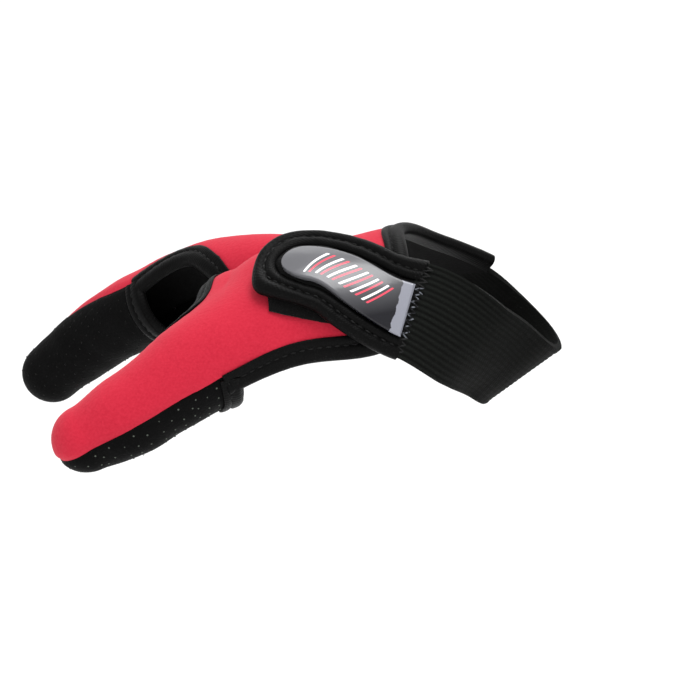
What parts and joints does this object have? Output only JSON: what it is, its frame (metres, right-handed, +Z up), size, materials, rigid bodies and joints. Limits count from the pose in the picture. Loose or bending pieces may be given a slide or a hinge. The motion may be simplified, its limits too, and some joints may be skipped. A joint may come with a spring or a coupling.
{
  "type": "two-finger fishing glove, right hand",
  "caption": "Right-hand fishing glove with thumb and first-finger stalls, bound edges, padded closure tab and ribbed wrist elastic, in worn form.",
  "frame": {"origin": "middle of the wrist elastic, on the forearm's axis, where the wrist holds the glove", "axes": "+X from the stalls towards the forearm, +Y away from the thumb side, +Z up towards the back of the hand"},
  "size_m": [0.1687, 0.1195, 0.0717],
  "materials": {
    "neoprene_red": "matt",
    "grip_black": "matt",
    "tape_black": "matt",
    "loop_black": "matt",
    "pad_black": "satin",
    "badge_clear": "gloss",
    "elastic_black": "matt"
  },
  "bodies": {
    "root": {"back_panel": "neoprene_red", "thumb_grip_panel": "grip_black", "index_grip_panel": "grip_black", "web_binding": "tape_black", "thumb_mouth_binding": "tape_black", "index_mouth_binding": "tape_black", "radial_edge_binding": "tape_black", "ulnar_edge_binding": "tape_black", "wrist_edge_binding": "tape_black", "loop_patch": "loop_black", "closure_tab": "pad_black", "tab_rim": "pad_black", "badge": "badge_clear", "wrist_elastic": "elastic_black"}
  },
  "joints": []
}
